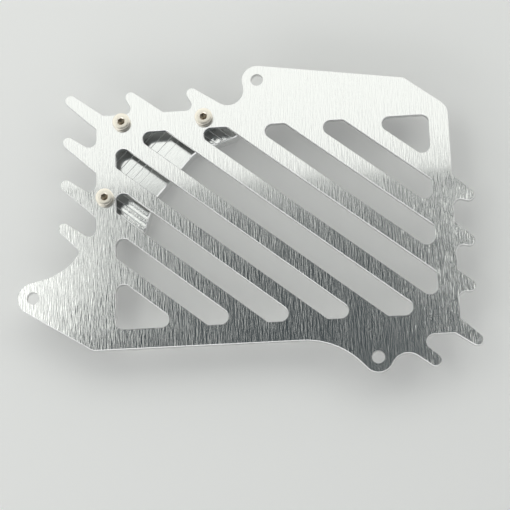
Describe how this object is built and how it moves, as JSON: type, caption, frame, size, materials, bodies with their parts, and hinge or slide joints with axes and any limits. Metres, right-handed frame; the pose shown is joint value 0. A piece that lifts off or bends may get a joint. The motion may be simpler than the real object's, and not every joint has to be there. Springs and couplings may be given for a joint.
{
  "type": "motorcycle radiator guard",
  "caption": "Flat brushed aluminium guard plate with diagonal slots, spiked edges and drilled mounting lugs, screwed to a milled corner bracket behind it.",
  "frame": {"origin": "centre of the upper mounting hole in the back face of the guard plate", "axes": "+X along the guard's long side to the right, +Y up the front face as it is mounted, +Z out of the front face"},
  "size_m": [0.2367, 0.1677, 0.0197],
  "materials": {
    "brushed_aluminium": "brushed along Y",
    "milled_aluminium": "milled",
    "stainless_steel": "satin"
  },
  "bodies": {
    "root": {"guard_plate": "brushed_aluminium", "corner_bracket": "milled_aluminium", "bracket_screws": "stainless_steel"}
  },
  "joints": []
}
